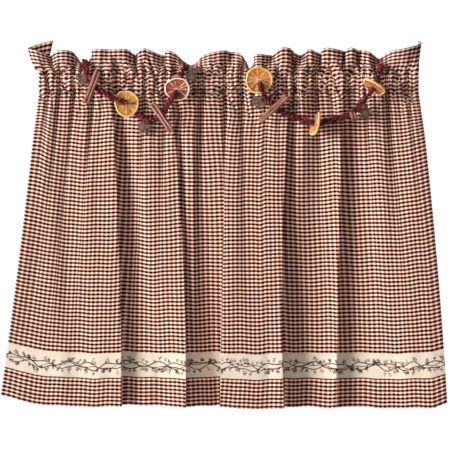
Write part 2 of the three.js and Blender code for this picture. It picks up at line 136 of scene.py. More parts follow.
# Soft folds: x of the trough at pocket, middle and hem, its depth there, and its reach to the left and right
SOFT_FOLDS = [
    [(-269, -265, -249), (5, 4.5, 1.6), 16, 45],
    [(-222, -212, -200), (4, 1.5, 0.5), 9, 25],
    [(-105, -107, -116), (4, 2.5, 3), 10, 40],
    [(31, 36, 43), (5, 2, 0.3), 11, 30],
    [(269, 279, 285), (6, 3, 1), 9, 30],
]

# Gathers under the pocket: x at the pocket and depth. Then their half width and the drop over which they fade
GATHERS = [
    (-293, 5), (-275, 8), (-251, 15), (-239, 4), (-219, 12), (-203, 4), (-134, 12), (-117, 5), (-99, 10),
    (-40, 4), (-1, 14), (27, 8), (46, 4), (65, 5), (86, 5), (117, 5), (150, 9), (174, 6), (230, 9), (247, 4),
    (267, 10), (285, 4), (301, 6),
]
GATHER_HALF = 3.6
GATHER_FADE = 80.0

# Flat width in a millimetre of the seen faces, what the pocket adds, and the drop over which that fades. The
# rest hides in the gathers
FACE_RATE = 1.06
POCKET_RATE = 0.22
POCKET_FADE = 30.0

# Slow waves of the whole cloth, out of its plane and of its rows: height, distances across and down, and
# start
RIPPLES = [(0.35, 61, 520, 0.3), (0.35, 83, -560, 2.1), (0.18, 37, 400, 4.0)]
ROW_WAVES = [(0.5, 92, 640, 1.0), (0.35, 47, -380, 2.6)]

# Puckers along the pocket's stitch lines and half way between: how many in a line, ranges of half width and
# slant, and line by line its height, their depth and their reach above and below it
PUCKERS = 60
PUCKER_HALF = (1.5, 4.4)
PUCKER_SLANT = (-0.8, 0.8)
PUCKER_LINES = [
    (POCKET_HALF, (3.0, 9.0), (6, 24), (7, 18)),
    (0.0, (1.0, 4.5), (5, 14), (5, 14)),
    (-POCKET_HALF, (3.0, 8.5), (6, 16), (7, 26)),
]

# How far a pucker draws the columns in, as a share of its depth, and the fade at which it ends
PUCKER_PULL = 0.45
PUCKER_LEAST = 0.02

# Sharp creases of the ruffle and pocket: x and height of the upper and of the lower end, and depth. Then
# their half width and how softly they end
CREASES = [
    (-155, 50, -146, 14, 13), (-131, 49, -119, 16, 9), (-149, 13, -155, -13, 11), (-127, 7, -127, -13, 11),
    (-116, 8, -103, -8, 9), (-49, -2, -48, -25, 9), (-8, -10, -3, -33, 11), (-274, 8, -262, -23, 10),
    (99, 6, 101, -24, 13), (117, 5, 114, -17, 12), (174, 6, 167, -15, 12), (183, 3, 184, -15, 10),
    (279, 4, 269, -17, 13), (156, 45, 156, 18, 10), (195, 45, 192, 19, 10), (219, 40, 223, 15, 12),
    (107, 50, 114, 22, 12), (134, 44, 137, 16, 9),
]
CREASE_HALF = 1.9
CREASE_END = 5.0

# Rod pocket: how far each layer stands off the middle, how much of the gathers' waves is left, how far the
# cloth stands forward, and the drop over which that fades
FRONT_BULGE = 4.5
BACK_BULGE = 13.0
POCKET_WAVE = 0.65
TOP_FORWARD = 4.0
TOP_FADE = 32.0

# Way of the rod: half its depth and height, how fast it narrows beyond that, and how softly the cloth stops
# at it
ROD_CLEAR = 4.9
ROD_HEIGHT = 8.6
ROD_CLOSE = 2.0
ROD_SOFT = 1.0

# Ruffle: flat height, share of it over which the checks fan out, share of the top edge's depth in the fan,
# power of the height with which it leans out, and that of the flap at the left end, with its width
RUFFLE_FLAT = 38.0
FAN_SHARE = 0.4
SIDE_SHARE = 0.2
STRAIGHT_LEAN = 0.85
FLAP_LEAN = 0.4
FLAP_WIDTH = 34.0

# Top edge of the ruffle from left to right: x of its foot on the pocket, and x, y and height of each crest,
# dip and overhanging edge
RUFFLE = np.array([
    [-310, -287, 18, 65], [-308, -305, 14, 61], [-304, -327, 2, 53], [-299, -314, -11, 50],
    [-290, -297, -6, 43], [-285, -291, 7, 40], [-279, -281, -8, 48], [-266, -266, -13, 50],
    [-255, -252, -4, 46], [-243, -242, 5, 32], [-235, -234, 10, 22], [-229, -224, 9, 37], [-226, -216, 5, 48],
    [-223, -221, -8, 51], [-212, -208, -13, 52], [-193, -193, -8, 51], [-178, -178, -13, 52],
    [-163, -163, -9, 51], [-153, -153, 6, 43], [-148, -149, 13, 41], [-143, -144, -4, 49],
    [-135, -135, -13, 53], [-122, -122, -9, 48], [-108, -106, 4, 41], [-102, -97, 11, 42],
    [-99, -100, -4, 48], [-93, -93, -12, 49], [-83, -82, -9, 43], [-73, -72, 1, 33], [-60, -58, 10, 24],
    [-51, -49, 5, 29], [-42, -42, -6, 38], [-27, -27, -12, 45], [-8, -8, -12, 49], [2, 3, -6, 49],
    [5, 1, 4, 47], [9, 8, 8, 46], [17, 18, -6, 46], [26, 26, -9, 42], [34, 34, 1, 29], [41, 40, 10, 19],
    [46, 50, 7, 37], [49, 46, -5, 41], [54, 54, -13, 44], [66, 67, -6, 42], [74, 75, 8, 41], [82, 82, -4, 46],
    [92, 92, -13, 54], [105, 105, -11, 53], [114, 114, 1, 45], [123, 124, 12, 41], [131, 131, -1, 47],
    [137, 137, -12, 52], [148, 149, -6, 47], [156, 159, 10, 43], [159, 157, -4, 50], [166, 166, -13, 54],
    [180, 180, -11, 52], [192, 192, 1, 49], [196, 196, 13, 47], [200, 199, -5, 51], [206, 206, -13, 54],
    [213, 214, -9, 52], [216, 212, 4, 50], [219, 217, 11, 50], [226, 227, -7, 49], [237, 238, -7, 46],
    [246, 246, 4, 40], [254, 254, 11, 35], [262, 262, 4, 41], [273, 275, -6, 49], [286, 290, -12, 52],
    [300, 307, -8, 56], [310, 319, 1, 59], [315, 323, 9, 62], [318, 319, 16, 64],
], float)

# Checks: width and height of a repeat, share of it that is dark, softness of its edges, and spacing of the
# yarns
WARP_REPEAT = 8.8
WEFT_REPEAT = 6.42
WARP_DARK = 0.57
WEFT_DARK = 0.56
STRIPE_SOFT = 0.15
YARN = 0.53

# Colours of the woven check under full light, and of the printed strip
GINGHAM = {
    "light": (1.0, 0.80, 0.695, 1.0),
    "dark_warp": (0.60, 0.335, 0.255, 1.0),
    "dark_weft": (0.26, 0.075, 0.045, 1.0),
    "dark": (0.022, 0.0, 0.0, 1.0),
}
BORDER = {
    "cloth": (0.74, 0.625, 0.513, 1.0),
    "fleck": (0.645, 0.53, 0.413, 1.0),
    "stem": srgb(48, 30, 24),
    "leaf": srgb(62, 48, 42),
}

# Printed vine: winding stems as swing, repeat, start, second swing, its repeat and start, their half widths,
# and the height that they wind about
STEMS = [(5.6, 92, 0.0, 1.9, 37, 0.8), (-5.2, 92, 0.5, 1.7, 41, 2.4), (3.6, 133, 2.2, 2.6, 47, 4.0)]
STEM_HALF = (0.95, 0.9, 0.65)
PRINT_MIDDLE = -(PANEL_DROP + BORDER_DROP * 0.52)

# Sprigs on the stems: spacing, length, slant and bow of a stalk, places and length of its leaves, and half
# widths of the stalk, a leaf's stem and its blade
SPRIG_STEP = 3.3
SPRIG_LENGTH = (5.0, 10.5)
SPRIG_SLANT = (0.7, 1.25)
SPRIG_BOW = (-1.6, 1.6)
LEAF_SHARES = (0.35, 0.5, 0.65, 0.8, 0.95)
LEAF_LENGTH = (1.6, 2.7)
STALK_HALF = 0.34
LEAF_STEM_HALF = 0.3
LEAF_HALF = (0.5, 0.75)

# Ink: half the width of its soft edge, its share on the back, and the farthest distance that is told apart
INK_SOFT = 0.16
INK_THROUGH = 0.3
INK_FAR = 3.0

# Garland routes, as in the part: strung berries, and what lies between them on the twine
BERRY_ROUTES = {
    "berries_left_a": [
        (-233.5, 16, 25), (-233.5, 8, 30.2), (-233, -3, 31), (-231.6, -14, 24.4), (-228.8, -22.6, 12),
        (-224.8, -25.6, 3), (-218.8, -24.6, -6), (-208, -24, -16), (-190, -26, -26), (-177, -27.6, -31),
        (-164, -27.6, -35),
    ],
    "berries_left_b": [
        (-148.6, -19.3, -53.4), (-138, -19, -60), (-126, -19, -64), (-113, -20, -62), (-101, -24, -48),
        (-91, -29.6, -31), (-82, -32.4, -17),
    ],
    "berries_left_c": [(-76, -25.8, 8.3), (-72, -22.5, 15.5), (-67.5, -17, 20.5), (-64.2, -8.2, 21.8)],
    "berries_right_b": [
        (55, -32.6, -3), (59, -30.6, -15), (63, -27.2, -22.5), (70, -22.5, -32), (81, -19.5, -43),
        (96, -19, -53), (113, -19.5, -60), (129, -21, -66), (144.9, -23, -69),
    ],
    "berries_right_c": [
        (151.8, -23, -70), (166, -20, -67), (180, -19, -62), (197, -20, -58), (209, -21, -52),
        (219, -24, -41), (229, -30, -29), (241.7, -37, -10.2),
    ],
    "berries_right_d": [
        (245.4, -37.3, -5), (250, -30, 6.3), (253, -23, 16.4), (254.6, -15, 23), (254.4, -3.6, 25),
    ],
}
THROUGH_SLICE_1 = [(-160, -20, -39), (-155, -17.5, -46)]
THROUGH_SLICE_2 = [(-80.5, -25, -12), (-78.5, -21.5, -4)]
BARE_TWINE = [(46, -13.5, 13.6), (47.6, -18, 10), (49.6, -21.6, 6.5), (52, -23.6, 3)]
TWINE_ROUTES = {
    "twine_left": BERRY_ROUTES["berries_left_a"] + THROUGH_SLICE_1 + BERRY_ROUTES["berries_left_b"]
    + THROUGH_SLICE_2 + BERRY_ROUTES["berries_left_c"],
    "twine_right": BARE_TWINE + BERRY_ROUTES["berries_right_b"] + BERRY_ROUTES["berries_right_c"]
    + BERRY_ROUTES["berries_right_d"],
}
TWINE_RADIUS = 1.0

# Berries: their size, how far apart and how far from the twine they sit, and the turn from one to the next
BERRY_RADIUS = (2.1, 3.4)
BERRY_STEP = 1.5
BERRY_OUT = 2.9
GOLDEN_TURN = 2.39996

# Dried slices: centre, way the seen face looks, turn about it, depth of colour from amber to red, and how
# wide and tall it has dried
SLICES = [
    [(-164, -20, -37), (0.15, -0.94, 0.3), 0.4, 0.0, (0.95, 1.07)],
    [(-80, -26, -13), (-0.12, -0.98, -0.1), 1.1, 0.95, (1.0, 0.9)],
    [(54, -26, 2), (0.1, -0.98, -0.12), 0.2, 0.1, (1.06, 1.06)],
    [(148, -23, -70), (-0.93, -0.2, 0.31), 0.9, 0.4, (0.95, 0.95)],
    [(243, -37, -8.5), (-0.52, -0.38, -0.76), 1.7, 0.6, (1.0, 0.95)],
]
SLICE_RADIUS = 21.3
SLICE_THICK = 4.0
SEGMENTS = 10

# Rolled bark: both ends of each stick, the way its groove looks, and how pale it is
STICKS = [
    [(-210, -33, 17), (-230, -32, -36), (0.2, -1, 0), 0.3],
    [(-121, -30.8, -37), (-89, -29.8, -83), (0, -1, 0), 1.0],
    [(101, -26.2, -25), (56, -29.2, -65), (0, 1, 0), 0.2],
    [(208, -26.2, -52), (211, -55, -61), (0, 0, 1), 0.6],
]

# Tin stars: centre, and turn about the line of sight in degrees
STARS = [
    [(-235.8, -19.2, 3), 12], [(-135, -17, -77.6), 8], [(-58, -22, 10.5), -8], [(52.3, -23.4, -34), 42],
    [(229.9, -20.5, -52), 10],
]


def rise(low, high, value):
    """Smooth step from 0 at low to 1 at high."""
    t = np.clip((np.asarray(value, float) - low) / (high - low), 0, 1)
    return t * t * (3 - 2 * t)


def bell(off):
    """1 at no distance, falling off evenly to both sides."""
    return np.exp(-(off ** 2))


def along(values, share):
    """Values given at pocket, middle and hem in the last axis, on the curve through the three."""
    pocket, middle, hem = np.moveaxis(np.asarray(values, float), -1, 0)
    rest = 1 - share
    return pocket * rest * (1 - 2 * share) + middle * (4 * share * rest) + hem * share * (2 * share - 1)


def unit(vectors):
    return vectors / np.linalg.norm(vectors, axis=-1, keepdims=True)


def beside(*values):
    """Values side by side, a row for each place."""
    return np.column_stack(np.broadcast_arrays(*values))


def lengths(line):
    """Distance along a line of points at each of them."""
    return np.append(0, np.cumsum(np.linalg.norm(np.diff(line, axis=0), axis=1)))


def points_at(wanted, reach, line):
    """Points of a line at distances along it."""
    return np.stack([np.interp(wanted, reach, line[:, k]) for k in range(3)], -1)


def curve_points(route, step):
    """Points about a step apart on a smooth curve through a route."""
    route = np.asarray(route, float)
    ends = np.vstack([2 * route[0] - route[1], route, 2 * route[-1] - route[-2]])
    t = np.linspace(0, 1, 24, endpoint=False)[:, None]
    fine = []
    for a, b, c, d in zip(ends, ends[1:], ends[2:], ends[3:]):
        fine.append(b + 0.5 * t * (c - a + t * (2 * a - 5 * b + 4 * c - d + t * (3 * (b - c) + d - a))))
    fine = np.vstack(fine + [route[-1:]])
    reach = lengths(fine)
    count = max(2, round(reach[-1] / step))
    return points_at(np.linspace(0, reach[-1], count + 1), reach, fine)


class Nodes:
    """Nodes of a material or a world."""

    def __init__(self, owner):
        owner.use_nodes = True
        self.owner = owner
        self.tree = owner.node_tree
        self.tree.nodes.clear()

    def node(self, kind, settings=None, inputs=None):
        made = self.tree.nodes.new("ShaderNode" + kind)
        for key, value in (settings or {}).items():
            setattr(made, key, value)
        for key, value in (inputs or {}).items():
            self.feed(made.inputs[key], value)
        return made

    def feed(self, socket, value):
        if isinstance(value, bpy.types.NodeSocket):
            self.tree.links.new(value, socket)
        else:
            socket.default_value = value


class Graph(Nodes):
    """A material with one principled shader."""

    def __init__(self, name, roughness, gloss=0.5, **others):
        super().__init__(bpy.data.materials.new(name))
        inputs = {"Roughness": roughness, "Specular IOR Level": gloss, **others}
        self.shader = self.node("BsdfPrincipled", None, inputs)
        self.node("OutputMaterial", None, {0: self.shader.outputs[0]})

    def math(self, operation, a, b=0.0):
        return self.node("Math", {"operation": operation}, {0: a, 1: b}).outputs[0]

    def plus(self, a, b):
        return self.math("ADD", a, b)

    def times(self, a, b):
        return self.math("MULTIPLY", a, b)

    def steps(self, value, low, high, start=0.0, end=1.0):
        inputs = {0: value, 1: low, 2: high, 3: start, 4: end}
        return self.node("MapRange", {"interpolation_type": "SMOOTHSTEP"}, inputs).outputs[0]

    def mix(self, factor, a, b):
        return self.node("Mix", {"data_type": "RGBA"}, {0: factor, 6: a, 7: b}).outputs[2]

    def uv(self, name):
        layout = self.node("UVMap", {"uv_map": name}).outputs[0]
        return self.node("SeparateXYZ", None, {0: layout}).outputs[:2]

    def noise(self, vector, scale, detail):
        inputs = {"Vector": vector, "Scale": scale, "Detail": detail}
        return self.node("TexNoise", None, inputs).outputs[0]

    def streaks(self, u, v, along_u, along_v, detail=2.0):
        """Noise over a layout, with its own scale each way."""
        inputs = {0: self.times(u, along_u), 1: self.times(v, along_v)}
        return self.noise(self.node("CombineXYZ", None, inputs).outputs[0], 1.0, detail)

    def spots(self, scale, detail=2.0):
        """Noise over the place in space."""
        return self.noise(self.node("NewGeometry").outputs["Position"], scale, detail)

    def attribute(self, name):
        return self.node("Attribute", {"attribute_name": name}).outputs["Fac"]

    def done(self, colour, height=None, distance=0.0, strength=0.0):
        """The material with its colour, and with relief where a height is given."""
        self.feed(self.shader.inputs["Base Color"], colour)
        if height is not None:
            inputs = {"Height": height, "Distance": distance, "Strength": strength}
            self.feed(self.shader.inputs["Normal"], self.node("Bump", None, inputs).outputs[0])
        return self.owner


def stripe(graph, across, repeat, dark_share):
    """1 on the dark part of a woven repeat and 0 on its light part."""
    half = repeat / 2 * MM
    edge = half * (1 - dark_share)
    soft = STRIPE_SOFT * MM
    return graph.steps(graph.math("PINGPONG", across, half), edge - soft, edge + soft)


def woven(graph, u, v, cloth, slub_share, weave_shade_share, depth, strength):
    """Finishes a cloth: toned at random by its uneven yarns, given painted shade and highlight by the relief
    of its plain weave, and raised by both.
    """
    turn = math.pi / (YARN * MM)
    weave = graph.times(graph.math("SINE", graph.times(u, turn)), graph.math("SINE", graph.times(v, turn)))
    slub = graph.plus(graph.streaks(u, v, 1500, 160), graph.streaks(u, v, 160, 1500))
    tone_and_weave_shade = graph.plus(1 - slub_share, graph.times(slub, slub_share))
    # Painted shade and highlight: the colour darkens in the hollows of the plain weave and lightens on its
    # crossings, after the same relief that the bump draws.
    tone_and_weave_shade = graph.plus(tone_and_weave_shade, graph.times(weave, weave_shade_share))
    shaded = graph.node("VectorMath", {"operation": "SCALE"}, {0: cloth, "Scale": tone_and_weave_shade})
    return graph.done(shaded.outputs[0], graph.plus(weave, slub), depth, strength)


def gingham_material():
    graph = Graph("gingham", 0.95, 0.0)
    u, v = graph.uv("Flat")
    waver = graph.times(graph.math("SUBTRACT", graph.streaks(u, v, 420, 420), 0.5), 0.5 * MM)
    warp = stripe(graph, graph.plus(u, waver), WARP_REPEAT, WARP_DARK)
    weft = stripe(graph, graph.plus(v, waver), WEFT_REPEAT, WEFT_DARK)
    light_rows = graph.mix(warp, GINGHAM["light"], GINGHAM["dark_warp"])
    dark_rows = graph.mix(warp, GINGHAM["dark_weft"], GINGHAM["dark"])
    return woven(graph, u, v, graph.mix(weft, light_rows, dark_rows), 0.18, 0.1, 0.12 * MM, 0.5)


def border_material():
    graph = Graph("border_cloth", 0.95, 0.0)
    u, v = graph.uv("Flat")
    flecks = graph.steps(graph.streaks(u, v, 300, 300), 0.62, 0.78)
    cloth = graph.mix(graph.times(flecks, 0.35), BORDER["cloth"], BORDER["fleck"])
    patchy = graph.steps(graph.streaks(u, v, 260, 260), 0.3, 0.55, 0.55, 1.0)
    patchy = graph.times(patchy, graph.attribute("ink_strength"))
    for part in ("leaf", "stem"):
        ink = graph.steps(graph.attribute(part + "_ink"), INK_SOFT, -INK_SOFT)
        cloth = graph.mix(graph.times(ink, patchy), cloth, BORDER[part])
    return woven(graph, u, v, cloth, 0.12, 0.06, 0.1 * MM, 0.4)


def berry_material():
    graph = Graph("berries", 0.55, 0.35)
    island = graph.node("NewGeometry").outputs["Random Per Island"]
    skin = graph.mix(graph.steps(island, 0.35, 1.0), srgb(74, 12, 22), srgb(138, 28, 42))
    mottle = graph.spots(620.0, 3.0)
    skin = graph.mix(graph.steps(mottle, 0.45, 0.75), skin, srgb(44, 8, 16))
    return graph.done(skin, mottle, 0.6 * MM, 0.6)


def twine_material():
    graph = Graph("twine", 0.9)
    fibre = graph.spots(900.0, 4.0)
    return graph.done(graph.mix(fibre, srgb(96, 76, 52), srgb(158, 134, 98)), fibre, 0.4 * MM, 0.7)


def orange_material(name, red):
    """Dried citrus, from amber to red: peel, pith, membranes and streaked flesh."""
    glow = {"Subsurface Weight": 0.6, "Subsurface Radius": (1.0, 0.6, 0.25), "Subsurface Scale": 6 * MM}
    graph = Graph(name, 0.45, **glow)
    turn, radius = graph.uv("Slice")
    amber = srgb(228 - 84 * red, 146 - 96 * red, 44 - 26 * red)
    brown = srgb(178 - 72 * red, 86 - 54 * red, 26 - 12 * red)
    pale = srgb(240 - 76 * red, 182 - 112 * red, 88 - 58 * red)
    pith = srgb(248, 214 + 14 * red ** 2, 146 + 62 * red ** 2)
    peel = srgb(236, 184, 96 + 64 * red ** 2)
    pulp = graph.streaks(turn, radius, 46.0, 5.0, 4.0)
    patch = graph.plus(graph.spots(85.0), graph.attribute("tone"))
    flesh = graph.mix(graph.steps(patch, 0.34, 0.66), amber, brown)
    speck = graph.times(graph.plus(pulp, graph.spots(330.0, 1.0)), 0.5)
    flesh = graph.mix(graph.steps(speck, 0.42, 0.62, 0.0, 0.8), flesh, pale)
    web = graph.steps(graph.attribute("web"), 0.8, 0.3)
    worn = graph.steps(graph.spots(70.0), 0.4, 0.58, 0.2, 1.0)
    flesh = graph.mix(graph.times(web, worn), flesh, srgb(246, 226, 190))
    uneven = graph.times(graph.math("SUBTRACT", graph.spots(140.0), 0.5), 0.1)
    flesh = graph.mix(graph.steps(graph.plus(radius, uneven), 0.87, 0.91), flesh, pith)
    flesh = graph.mix(graph.steps(radius, 0.97, 0.99), flesh, peel)
    return graph.done(flesh, graph.plus(pulp, graph.spots(900.0)), 0.8 * MM, 0.5)


def bark_material(name, pale):
    """Cinnamon bark, from brown to a pale pinkish brown."""
    graph = Graph(name, 0.75)
    around, lengthwise = graph.uv("Bark")
    grain = graph.streaks(around, lengthwise, 420.0, 30.0, 4.0)
    ridge = srgb(190 + 26 * pale, 122 + 34 * pale, 100 + 38 * pale)
    bark = graph.mix(graph.steps(grain, 0.3, 0.7), srgb(84, 43, 34), ridge)
    bark = graph.mix(graph.steps(graph.spots(90.0), 0.5, 0.8), bark, srgb(96, 48, 35))
    return graph.done(bark, grain, 0.6 * MM, 0.7)


def tin_material():
    graph = Graph("tin", 0.8, 0.2, Metallic=0.1)
    rust = graph.spots(210.0, 4.0)
    speck = graph.spots(330.0)
    tin = graph.mix(graph.steps(rust, 0.4, 0.65), srgb(124, 99, 83), srgb(76, 54, 42))
    tin = graph.mix(graph.steps(speck, 0.5, 0.7, 0.0, 0.5), tin, srgb(96, 88, 74))
    return graph.done(tin, graph.plus(rust, speck), 0.4 * MM, 0.4)


def thread_material():
    graph = Graph("thread", 0.7)
    ply = graph.math("SINE", graph.times(graph.plus(*graph.uv("Flat")), 9000.0))
    # Painted shade and highlight of the twist: the thread darkens in its grooves and lightens on its ridges,
    # after the same wave that the bump raises.
    colour = graph.mix(graph.steps(ply, -1.0, 1.0), srgb(92, 22, 30), srgb(128, 40, 46))
    return graph.done(colour, ply, 0.2 * MM, 0.5)


def link(name, data):
    """A new object in the scene."""
    made = bpy.data.objects.new(name, data)
    bpy.context.scene.collection.objects.link(made)
    return made


def mesh_object(name, points, faces, material, smooth=True):
    """A mesh piece from points in millimetres."""
    mesh = bpy.data.meshes.new(name)
    rows = faces if isinstance(faces, list) else faces.tolist()
    mesh.from_pydata((np.asarray(points) * MM).tolist(), [], rows)
    mesh.polygons.foreach_set("use_smooth", np.full(len(mesh.polygons), smooth))
    mesh.materials.append(material)
    mesh.update()
    return link(name + LOOK, mesh)


def add_uv(piece, name, corners):
    layer = piece.data.uv_layers.new(name=name)
    layer.data.foreach_set("uv", np.asarray(corners, np.float32).ravel())


def add_values(piece, name, values):
    layer = piece.data.attributes.new(name, "FLOAT", "POINT")
    layer.data.foreach_set("value", np.asarray(values, np.float32).ravel())


def corner_points(piece):
    """The point that each corner of a face lies on."""
    points = np.empty(len(piece.data.loops), np.int32)
    piece.data.loops.foreach_get("vertex_index", points)
    return points


def finished(piece):
    """Rides the piece on the part, in place of the CAD node that it is named after."""
    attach(piece, "root")
    node = piece.name.removesuffix(LOOK)
    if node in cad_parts:
        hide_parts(node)
    return piece


def make_camera():
    data = bpy.data.cameras.new("camera")
    data.sensor_width = SENSOR
    data.lens = SENSOR * VIEW_DISTANCE / (PICTURE * PIXEL)
    data.clip_end = 50
    away = Vector((0, -math.cos(VIEW_RISE), math.sin(VIEW_RISE))) * VIEW_DISTANCE
    camera = link("camera", data)
    camera.location = (Vector(VIEW_CENTRE) + away) * MM
    camera.rotation_euler = (math.pi / 2 - VIEW_RISE, 0, 0)
    bpy.context.scene.camera = camera


def make_twine(name, route, material):
    data = bpy.data.curves.new(name, "CURVE")
    data.dimensions = "3D"
    data.bevel_depth = TWINE_RADIUS * MM
    data.bevel_resolution = 2
    data.resolution_u = 6
    data.use_fill_caps = True
    spline = data.splines.new("BEZIER")
    spline.bezier_points.add(len(route) - 1)
    for place, point in zip(route, spline.bezier_points):
        point.co = Vector(place) * MM
        point.handle_left_type = point.handle_right_type = "AUTO"
    data.materials.append(material)
    return link(name + LOOK, data)


def ball():
    """Points and faces of a fine round ball of radius 1."""
    shape = bmesh.new()
    bmesh.ops.create_icosphere(shape, subdivisions=2, radius=1)
    points = np.array([v.co for v in shape.verts])
    faces = np.array([[v.index for v in f.verts] for f in shape.faces])
    shape.free()
    return points, faces


def make_berries(name, route, material):
    """Small wrinkled berries crowded round the twine."""
    line = curve_points(route, BERRY_STEP)
    heading = unit(np.gradient(line, axis=0))
    side = unit(np.cross(heading, [0.1, 0.2, 1.0]))
    other = np.cross(heading, side)
    count = len(line)
    angle = (np.arange(count) * GOLDEN_TURN + random.normal(0, 0.4, count))[:, None]
    out = BERRY_OUT + random.normal(0, 0.7, (count, 1))
    centre = line + out * (np.cos(angle) * side + np.sin(angle) * other)
    radius = random.uniform(*BERRY_RADIUS, count)
    turns = np.array([Quaternion(q).normalized().to_matrix() for q in random.normal(size=(count, 4))])
    points, faces = ball()
    x, y, z = points.T
    lumps = 1 + 0.07 * np.sin(5 * x + 1) * np.sin(6 * y) + 0.05 * np.cos(7 * z)
    shape = points * lumps[:, None] * [1.0, 0.92, 1.12]
    placed = np.einsum("nij,pj->npi", turns, shape) * radius[:, None, None] + centre[:, None]
    every = faces + (np.arange(count) * len(points))[:, None, None]
    return finished(mesh_object(name, placed.reshape(-1, 3), every.reshape(-1, 3), material))


def frame_along(direction, front):
    """A turn whose +Z runs along a direction and whose +Y looks as near to front as it can."""
    z = Vector(direction).normalized()
    y = Vector(front)
    y = (y - z * y.dot(z)).normalized()
    return np.array(Matrix((y.cross(z), y, z)).transposed())


def loft(rings, around):
    """Four-sided faces between closed rings of points that follow one another."""
    index = np.arange(rings * around).reshape(rings, around)
    after = np.roll(index, -1, axis=1)
    return np.stack([index[:-1], after[:-1], after[1:], index[1:]], -1).reshape(-1, 4)


def plate(front, back):
    """Points and faces of a plate, from the rings of its two sides, the innermost first."""
    rings, around = front.shape[:2]
    count = rings * around
    sides = loft(rings, around)
    inmost = np.arange(around)
    rim = inmost + count - around
    after = np.roll(rim, -1)
    edge = np.stack([rim + count, after + count, after, rim], -1)
    faces = sides[:, ::-1].tolist() + (sides + count).tolist() + edge.tolist()
    faces += [inmost.tolist(), (inmost[::-1] + count).tolist()]
    return np.vstack([front.reshape(-1, 3), back.reshape(-1, 3)]), faces


def make_slice(name, place, facing, turn, size, material):
    """A dried slice: dished flesh between membranes, pith and a wavy peel."""
    theta = np.linspace(0, 2 * math.pi, 120, endpoint=False)
    share = np.append(np.linspace(0.02, 0.86, 15), [0.895, 0.93, 0.96, 0.985, 1.0])[:, None]
    wobble = random.uniform(0, 6.28, 4)
    edge = 1 + 0.028 * np.sin(3 * theta + wobble[0]) + 0.016 * np.sin(7 * theta + wobble[1])
    radius = SLICE_RADIUS * share * edge
    walls = np.arange(SEGMENTS) * 2 * math.pi / SEGMENTS + random.normal(0, 0.12, SEGMENTS)
    gap = np.abs((theta[:, None] - walls + math.pi) % (2 * math.pi) - math.pi).min(1)
    core = 0.06 * SLICE_RADIUS
    web = np.minimum(np.sin(np.minimum(gap, math.pi / 2)) * radius, np.abs(radius - core))
    flesh = 1 - rise(0.84, 0.9, share)
    rim = np.sqrt(1 - ((share - 0.93) / 0.07).clip(0, 1) ** 2)
    relief = SLICE_THICK / 2 * (0.25 + 0.75 * rim) - flesh * (0.5 + 0.55 * rise(0.2, 1.6, web))
    warp = 1.3 * np.sin(2 * theta + wobble[2]) * share ** 2
    x, y = size[0] * radius * np.cos(theta + turn), size[1] * radius * np.sin(theta + turn)
    local, faces = plate(np.stack([x, y, warp + relief], -1), np.stack([x, y, warp - relief], -1))
    piece = mesh_object(name, local @ frame_along(facing, (0, 0.001, 1)).T + place, faces, material)
    add_values(piece, "web", np.tile(web.ravel(), 2))
    tones = random.uniform(-0.3, 0.3, SEGMENTS)
    tone = tones[np.searchsorted(np.sort(walls), theta) % SEGMENTS]
    add_values(piece, "tone", np.tile(tone, 2 * len(share)))
    layout = np.stack(np.broadcast_arrays(theta / (2 * math.pi), share), -1).reshape(-1, 2)
    add_uv(piece, "Slice", np.tile(layout, (2, 1))[corner_points(piece)])
    return finished(piece)


def quill_section():
    """Closed line round the bark of a double scroll, its groove towards +Y."""
    angle = np.linspace(-0.62 * math.pi, 1.05 * math.pi, 30)
    spread = np.linspace(3.1, 2.0, 30)
    right = np.stack([2.5 + spread * np.cos(angle), spread * np.sin(angle)], 1)
    line = np.vstack([right[::-1] * [-1, 1], right])
    heading = unit(np.gradient(line, axis=0))
    normal = np.stack([heading[:, 1], -heading[:, 0]], 1)
    outer, inner = line + normal * 0.05, line - normal * 0.75
    return np.vstack([outer, inner[::-1]])


def make_stick(name, start, end, groove, material):
    """A rolled quill of bark, its two curls side by side."""
    ring = quill_section()
    size, count = len(ring), 18
    start, end = np.array(start, float), np.array(end, float)
    half = np.linalg.norm(end - start) / 2
    rings = []
    for z in np.linspace(-half, half, count):
        swell = 1 + 0.03 * math.sin(z * 0.17 + start[0]) + random.normal(0, 0.006)
        rings.append(beside(*(ring * swell + random.normal(0, 0.05, ring.shape)).T, z))
    for last in (rings[0], rings[-1]):
        last[:, 2] += random.normal(0, 0.35, size)
    points = np.vstack(rings)
    top = (count - 1) * size
    low = [[i, size - 1 - i, size - 2 - i, i + 1] for i in range(size // 2 - 1)]
    high = [[top + corner for corner in reversed(face)] for face in low]
    faces = loft(count, size).tolist() + low + high
    placed = points @ frame_along(end - start, groove).T + (start + end) / 2
    piece = mesh_object(name, placed, faces, material)
    layout = np.column_stack([np.tile(lengths(ring), count), points[:, 2]]) * MM
    add_uv(piece, "Bark", layout[corner_points(piece)])
    return finished(piece)


def make_star(name, place, turn, material):
    """A cut tin star, creased along its points and a little domed."""
    outer, inner, thick = 14.0, 7.9, 0.9
    per_edge = 6
    scale = np.array([0.04, 0.3, 0.6, 0.9, 1.0])[:, None]
    lift = np.array([-0.4, -0.35, -0.2, -0.05, 0.05])[:, None]
    angle = np.arange(10) * math.pi / 5 + math.radians(turn)
    reach = np.tile([outer, inner], 5)
    corners = beside(reach * np.sin(angle), 0, reach * np.cos(angle))
    part = (np.arange(per_edge) / per_edge)[:, None]
    ring = np.vstack([a + (b - a) * part for a, b in zip(corners, np.roll(corners, -1, axis=0))])
    ridge = np.abs(np.arange(len(ring)) % (2 * per_edge) / per_edge - 1)
    front = ring * scale[..., None]
    front[..., 1] += lift - thick / 2 + 0.25 + (0.5 - ridge) * 0.12 * np.sin(np.pi * scale)
    points, faces = plate(front, front + [0, thick, 0])
    return finished(mesh_object(name, points + place, faces, material, smooth=False))


